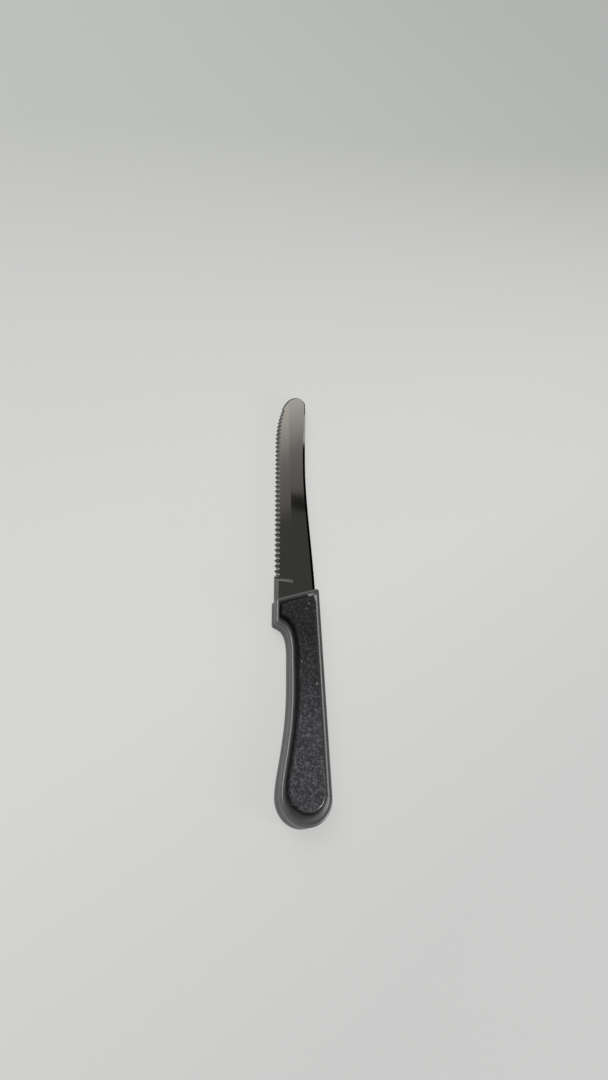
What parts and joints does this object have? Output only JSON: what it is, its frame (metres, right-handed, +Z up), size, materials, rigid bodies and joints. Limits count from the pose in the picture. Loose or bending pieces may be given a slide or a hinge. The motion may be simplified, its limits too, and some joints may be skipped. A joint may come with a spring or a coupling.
{
  "type": "fruit knife",
  "caption": "Small round-tipped fruit knife with a serrated steel blade, a hidden tang between two moulded handle shells and a raised grip panel on each side.",
  "frame": {"origin": "centre of the knife's outline, on the flat face of the rear grip panel that it lies on", "axes": "+Y from the butt to the tip, +X from the cutting edge to the back, +Z up from the rear side to the front side"},
  "size_m": [0.023, 0.2105, 0.0104],
  "materials": {
    "blade_steel": "satin, finely brushed along the blade",
    "shell_plastic": "satin black",
    "panel_plastic": "granular black with fine glints",
    "rivet_steel": "plain"
  },
  "bodies": {
    "root": {"blade": "blade_steel", "front_shell": "shell_plastic", "rear_shell": "shell_plastic", "front_grip_panel": "panel_plastic", "rear_grip_panel": "panel_plastic", "front_rivet": "rivet_steel", "middle_rivet": "rivet_steel", "rear_rivet": "rivet_steel"}
  },
  "joints": []
}
